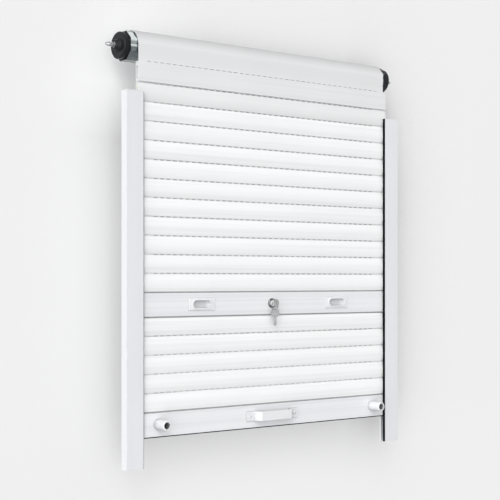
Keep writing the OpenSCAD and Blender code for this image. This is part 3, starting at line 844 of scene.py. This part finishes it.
def turned(profile):
    """A body turned about the Y axis, from a profile that begins and ends on it."""
    bm = bmesh.new()
    angles = [2 * math.pi * i / SCREW_SIDES for i in range(SCREW_SIDES)]
    rows = [[point(bm, r * math.cos(a), y, r * math.sin(a)) for a in angles] for r, y in profile[1:-1]]
    for first, second in zip(rows, rows[1:]):
        tube_faces(bm, first, second)
    for row, (_, y) in ((rows[0], profile[0]), (rows[-1], profile[-1])):
        tip = point(bm, 0, y, 0)
        for v, w in zip(row, row[1:] + row[:1]):
            bm.faces.new([v, w, tip])
    outward(bm)
    return new_piece("screw_body", bm, SCREW)


def cross_recess(seat_r, head_h):
    """Two crossed tapered blocks, to be cut out of a head."""
    slim, wide, depth, above = seat_r * 0.13, seat_r * 0.52, head_h * 0.62, 0.3
    narrow_x, narrow_z = 0.55, 0.7
    bm = bmesh.new()
    for half_x, half_z in ((wide, slim), (slim, wide)):
        corners = [(-half_x, -half_z), (half_x, -half_z), (half_x, half_z), (-half_x, half_z)]
        top = [point(bm, x, -head_h - above, z) for x, z in corners]
        low = [point(bm, x * narrow_x, depth - head_h, z * narrow_z) for x, z in corners]
        bm.faces.new(top)
        bm.faces.new(low[::-1])
        tube_faces(bm, top, low)
    outward(bm)
    return new_piece("screw_cross", bm, SCREW)


def screw_mesh(seat_r, head_h, shank_r, shank):
    """A screw along +Y, with the seat of its head at y = 0 and the head towards -Y."""
    body = turned(screw_profile(seat_r, head_h, shank_r, shank))
    cutter = cross_recess(seat_r, head_h)
    cut = body.modifiers.new("cross", "BOOLEAN")
    cut.operation = "DIFFERENCE"
    cut.solver = "EXACT"
    cut.use_self = True
    cut.object = cutter
    depsgraph = bpy.context.evaluated_depsgraph_get()
    mesh = bpy.data.meshes.new_from_object(body.evaluated_get(depsgraph))
    for o in (body, cutter):
        bpy.data.objects.remove(o)
    return mesh


def screws(node, places, shank, seat_r=3.8, head_h=2.0, shank_r=2.0):
    """A node's screws at their places, each with its cross turned another way."""
    base = screw_mesh(seat_r, head_h, shank_r, shank)
    meshes = []
    for i, (place, turn) in enumerate(places):
        mesh = base.copy()
        spin = Matrix.Rotation(math.radians(FIRST_SPIN + NEXT_SPIN * i), 4, "Y")
        mesh.transform(Matrix.Translation(Vector(place) * MM) @ turn @ spin)
        meshes.append(mesh)
    bpy.data.meshes.remove(base)
    return stand_for(joined(node + "_v", meshes, MATERIAL_OF[node]), node)


def pair(x, y, z, turn):
    """A place on the left and one on the right, with the same turn."""
    return [((side * x, y, z), turn) for side in (-1, 1)]


INTO_WALL = Matrix.Identity(4)
FROM_BEHIND = Matrix.Rotation(math.pi, 4, "Z")
TO_RIGHT = Matrix.Rotation(math.radians(-90), 4, "Z")
TO_LEFT = Matrix.Rotation(math.radians(90), 4, "Z")
CLAMP_TILT = Matrix.Rotation(math.radians(-8.0), 4, "X")
CLAMP_FACE = APRON_OUT + 2.05
CLAMP_STEP = 150.0


def clamp_places():
    """Five places along the clamp strip at the roller's back."""
    axis = Vector((0, ROLLER_Y, ROLLER_Z))
    places = [CLAMP_TILT @ Vector((CLAMP_STEP * i, CLAMP_FACE, 0)) for i in range(-2, 3)]
    return [(axis + place, CLAMP_TILT @ FROM_BEHIND) for place in places]


HANDLE_FOOT, STOPPER_FLOOR = SLAT_FACE - 3.0, SLAT_FACE - 5.0
HANDLE_SCREW_X, STOPPER_X = 63.5, 302.0
CASE_SCREW_X, CASE_BACK = 18.0, 1.5
STRIKE_X, STRIKE_Y, RIGHT_STRIKE_Z, LEFT_STRIKE_Z = 368.0, -9.0, 296.1, 273.0
STRIKE_PLACES = [
    ((STRIKE_X, STRIKE_Y, RIGHT_STRIKE_Z), TO_RIGHT),
    ((-STRIKE_X, STRIKE_Y, LEFT_STRIKE_Z), TO_LEFT),
]
screws("handle_screws", pair(HANDLE_SCREW_X, HANDLE_FOOT, BOTTOM_SLAT_Z, INTO_WALL), shank=8.0)
screws("stopper_screws", pair(STOPPER_X, STOPPER_FLOOR, BOTTOM_SLAT_Z, INTO_WALL), shank=10.0)
screws(
    "lock_case_screws", pair(CASE_SCREW_X, CASE_BACK, LOCK_Z, FROM_BEHIND),
    shank=6.5, seat_r=3.0, head_h=1.6, shank_r=1.6,
)
screws("apron_screws", clamp_places(), shank=13.0, head_h=1.95)
screws("strike_screws", STRIKE_PLACES, shank=7.0)


# pile strips in the rails, ribbed along their length

def pile_outline():
    """The strip's section: ribs on its inner side and on its back, and a foot."""
    inner, outer, front, back = 339.8, 351.2, -17.9, -12.4
    foot_x, foot_y = 343.2, -18.4
    rib, hair, corner, inner_ribs, back_ribs = 0.35, 0.04, 0.4, 11, 16
    points = []
    step = (back - front) / inner_ribs
    for k in range(inner_ribs):
        a = front + step * k
        b = a + step / 2
        points += [(inner, a + hair), (inner, b - hair), (inner + rib, b), (inner + rib, a + step - hair)]
    start = inner + corner
    step = (outer - start) / back_ribs
    for k in range(back_ribs):
        a = start + step * k
        b = a + step / 2
        points += [(a, back), (b, back), (b + hair, back - rib)]
    return points + [(outer, back - rib), (outer, foot_y), (foot_x, foot_y), (foot_x, front)]


def pile_strip(node, side):
    """The strip at one side, as tall as its node."""
    lo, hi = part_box(node)
    bm = bmesh.new()
    ends = [[bm.verts.new((side * x * MM, y * MM, z)) for x, y in pile_outline()] for z in (lo.z, hi.z)]
    tube_faces(bm, *ends)
    bm.faces.new(ends[0])
    bm.faces.new(ends[1][::-1])
    outward(bm)
    cut_many_sided(bm)
    return stand_for(smooth(new_piece(node + "_v", bm, RUBBER), 30.0), node)


pile_strip("left_liner", -1)
pile_strip("right_liner", 1)


# the apron: a sheet round the tube, its end under the clamp, and the drop to the top slat

SHEET_STEPS = 24
SLOT_STEP, SLOT_LEN, SLOTS = 16.0, 10.0, 41
DROP_STEPS = 22
BEAD_SIDES = 12


def across(half):
    """Even places from one edge of the sheet to the other."""
    return [-half + 2 * half * i / SHEET_STEPS for i in range(SHEET_STEPS + 1)]


def sheet_skin(bm, path, xs, hole=None):
    """A thick sheet along pairs of inner and outer (y, z) points, with its faces, rims and holes."""
    inner, outer = [[[point(bm, x, y, z) for x in xs] for y, z in side] for side in zip(*path)]
    rows, columns = len(path), len(xs)

    def rim(a, b):
        bm.faces.new([inner[a[0]][a[1]], inner[b[0]][b[1]], outer[b[0]][b[1]], outer[a[0]][a[1]]])

    for i in range(rows - 1):
        for j in range(columns - 1):
            corners = [(i, j), (i, j + 1), (i + 1, j + 1), (i + 1, j)]
            if hole and hole(i, j):
                for a, b in zip(corners, corners[1:] + corners[:1]):
                    rim(a, b)
            else:
                bm.faces.new([inner[p][q] for p, q in reversed(corners)])
                bm.faces.new([outer[p][q] for p, q in corners])
    for j in range(columns - 1):
        rim((0, j), (0, j + 1))
        rim((rows - 1, j), (rows - 1, j + 1))
    for i in range(rows - 1):
        rim((i, 0), (i + 1, 0))
        rim((i, columns - 1), (i + 1, columns - 1))


def sheet_piece(name, path, half):
    """A plain stretch of the apron, as wide as twice the half."""
    bm = bmesh.new()
    sheet_skin(bm, path, across(half))
    outward(bm)
    return smooth(new_piece(name, bm, SHEET))


def round_path(start, end, inner_r, outer_r, steps):
    """Pairs of inner and outer points round the roller, by degrees."""
    path = []
    for i in range(steps + 1):
        a = math.radians(start + (end - start) * i / steps)
        c, s = math.cos(a), math.sin(a)
        path.append([(ROLLER_Y + r * c, ROLLER_Z + r * s) for r in (inner_r, outer_r)])
    return path


def bead_skin(bm):
    """The bead along the apron's foot."""
    bead_z, half_y, half_z = ROLLER_Z - 37.4, 1.7, 1.5
    angles = [2 * math.pi * k / BEAD_SIDES for k in range(BEAD_SIDES)]
    section = [(APRON_Y + half_y * math.cos(a), bead_z + half_z * math.sin(a)) for a in angles]
    ends = [[point(bm, x, y, z) for y, z in section] for x in (-APRON_HALF, APRON_HALF)]
    tube_faces(bm, *ends)
    bm.faces.new(ends[0])
    bm.faces.new(ends[1][::-1])


def slotted_drop():
    """The apron's straight part, with a row of slots near its foot and a bead below."""
    slot_top, slot_foot, seam, foot = 31.2, 32.4, 34.4, 36.0
    middles = [(i - (SLOTS - 1) / 2) * SLOT_STEP for i in range(SLOTS)]
    slot_ends = [c + side * SLOT_LEN / 2 for c in middles for side in (-1, 1)]
    xs = [-APRON_HALF] + slot_ends + [APRON_HALF]
    drops = [slot_top * i / DROP_STEPS for i in range(DROP_STEPS + 1)] + [slot_foot, seam, foot]
    path = [[(ROLLER_Y - r, ROLLER_Z - drop) for r in (APRON_IN, APRON_OUT)] for drop in drops]
    bm = bmesh.new()
    sheet_skin(bm, path, xs, lambda row, column: row == DROP_STEPS and column % 2 == 1)
    bead_skin(bm)
    outward(bm)
    return smooth(new_piece("apron_drop", bm, SHEET))


# wrap and tail are a hair narrower than the drop and the tail a hair thicker, so that no faces coincide
FRONT, WRAP_END, TAIL_START, TAIL_END = 180.0, -10.0, 20.0, -24.0
NARROWER, THICKER = 0.05, 0.02
wrap_path = round_path(FRONT, WRAP_END, APRON_IN, APRON_OUT, 76)
wrap = sheet_piece("apron_wrap", wrap_path, APRON_HALF - NARROWER)
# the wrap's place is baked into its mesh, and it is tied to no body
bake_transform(wrap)
tail_path = round_path(TAIL_START, TAIL_END, APRON_IN - THICKER, APRON_OUT + THICKER, 20)
tail = sheet_piece("apron_tail", tail_path, APRON_HALF - 2 * NARROWER)
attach(tail, "roller")
drop = slotted_drop()
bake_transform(drop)
for o in (wrap, tail, drop):
    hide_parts("top_apron")


# stage: a pale wall behind and a floor far below, seen from their front only

PAPER = (0.871, 0.871, 0.871, 1.0)


def stage_material():
    """Pale paper, dark in the shutter's soft shadow, partly real and partly painted, and an even grey to the
    camera elsewhere.
    """
    material = bpy.data.materials.new("stage_paper")
    t = Nodes(material)
    geometry = t.add("NewGeometry")
    place = t.add("SeparateXYZ", Vector=geometry.outputs["Position"])
    x, z = place.outputs["X"], place.outputs["Z"]
    # painted shadow: darker where the shutter is near, over a wider reach to the right
    near = t.add("AmbientOcclusion", Distance=t.span(x, 0.22, 0.36, 0.30, 0.42))
    near.samples = 12
    openness = near.outputs["AO"]

    # painted shadow close by: darker with height, to the right and at the left foot
    shade = t.span(z, 0.60, 0.36, 0.05, 0.85)
    shade = t.reckon("SUBTRACT", shade, t.span(x, 0.0, 0.45, 0.30, 0.42))
    foot = t.reckon("MINIMUM", t.span(x, 0.10, 0.0, -0.36, -0.20), t.span(z, 0.10, 0.0, 0.15, 0.50))
    shade = t.reckon("SUBTRACT", shade, foot)
    # and painted lighter behind the roller's left end
    corner = t.reckon("MINIMUM", t.span(x, 0.42, 0.0, -0.28, -0.10), t.span(z, 0.0, 0.42, 0.68, 0.80))
    shade = t.reckon("ADD", shade, corner)
    # further off, painted a little darker to the left, where the lamps light the paper more
    far = t.span(x, 0.805, 0.845, -0.85, -0.40)
    lit = t.add("BsdfDiffuse", Color=t.span(openness, shade, far))

    even = t.add("Emission", Color=PAPER, Strength=1.0)
    share = t.reckon("ADD", t.span(openness, 0.08, 0.70, 0.91, 1.0), t.span(z, 0.28, 0.0, -0.02, 0.12))
    share = t.reckon("MULTIPLY", t.add("LightPath").outputs["Is Camera Ray"], share)
    paper = t.layers(share, lit, even)
    sides = t.layers(geometry.outputs["Backfacing"], paper, t.add("BsdfTransparent"))
    t.add("OutputMaterial", Surface=sides.outputs[0])
    return material


def stage_sheet():
    """Wall and floor in one sheet with a rounded foot."""
    wall_y, floor_z, r, far = 0.085, -0.45, 0.35, 30.0
    path = [(wall_y, far)] + arc(wall_y - r, floor_z + r, r, 0.0, -90.0, 12) + [(-far, floor_z)]
    bm = bmesh.new()
    rows = [[bm.verts.new((x, y, z)) for x in (-far, far)] for y, z in path]
    for a, b in zip(rows, rows[1:]):
        bm.faces.new([a[0], b[0], b[1], a[1]])
    o = new_piece("stage_sheet", bm, stage_material())
    for p in o.data.polygons:
        p.use_smooth = True
    o.visible_shadow = False
    o.visible_diffuse = False
    o.visible_glossy = False
    o.visible_transmission = False


stage_sheet()


# light: an even pale room and three large soft lamps

def world_light():
    """Light from all round, stronger from the left and from above, and plain grey where it is seen."""
    world = bpy.data.worlds.new("pale_room")
    scene.world = world
    t = Nodes(world)
    towards = t.add("SeparateXYZ", Vector=t.add("TexCoord").outputs["Generated"])
    level = t.reckon("MULTIPLY_ADD", towards.outputs["X"], -0.42, 0.52)
    level = t.reckon("MULTIPLY_ADD", towards.outputs["Z"], 0.30, level)
    room = t.add("Background", Color=level, Strength=1.0)
    seen = t.add("Background", Color=PAPER, Strength=1.0)
    ray = t.add("LightPath").outputs
    direct = t.reckon("MAXIMUM", ray["Is Camera Ray"], ray["Is Glossy Ray"])
    direct = t.reckon("MAXIMUM", direct, ray["Is Transmission Ray"])
    t.add("OutputWorld", Surface=t.layers(direct, room, seen).outputs[0])


MIDDLE = Vector((0.0, 0.0, 0.44))


def lamp_from(name, direction, distance, size, level):
    """A disc lamp whose light on a face turned to it is the given share of plain white."""
    place = MIDDLE + Vector(direction).normalized() * distance
    light = bpy.data.lights.new(name, "AREA")
    light.shape = "DISK"
    light.size = size
    light.energy = level * math.pi ** 2 * (distance ** 2 + size ** 2 / 4)
    o = bpy.data.objects.new(name, light)
    scene.collection.objects.link(o)
    o.visible_camera = False
    o.location = place
    o.rotation_euler = (MIDDLE - place).to_track_quat("-Z", "Y").to_euler()
    return o


world_light()
lamp_from("key_lamp", (-0.55, -0.55, 0.63), 14.0, 5.6, 0.25)
lamp_from("fill_lamp", (-0.617, -0.787, 0.0), 20.0, 25.0, 0.48)
lamp_from("back_lamp", (0.62, 0.75, 0.22), 6.0, 2.6, 0.40)


# camera, as the photograph was taken

CAMERA_AT = (-1.6961, -2.0947, 0.38495)
CAMERA_TURN = -38.13
LENS, SENSOR, RISE = 87.62, 36.0, 0.0588

cam_data = bpy.data.cameras.new("photo_camera")
cam_data.sensor_width = SENSOR
cam_data.lens = LENS
cam_data.shift_y = RISE
cam_data.clip_start = 0.01
cam_data.clip_end = 50.0
cam = bpy.data.objects.new("photo_camera", cam_data)
cam.location = CAMERA_AT
cam.rotation_euler = (math.radians(90.0), 0.0, math.radians(CAMERA_TURN))
scene.collection.objects.link(cam)
scene.camera = cam

scene.view_settings.view_transform = "Standard"
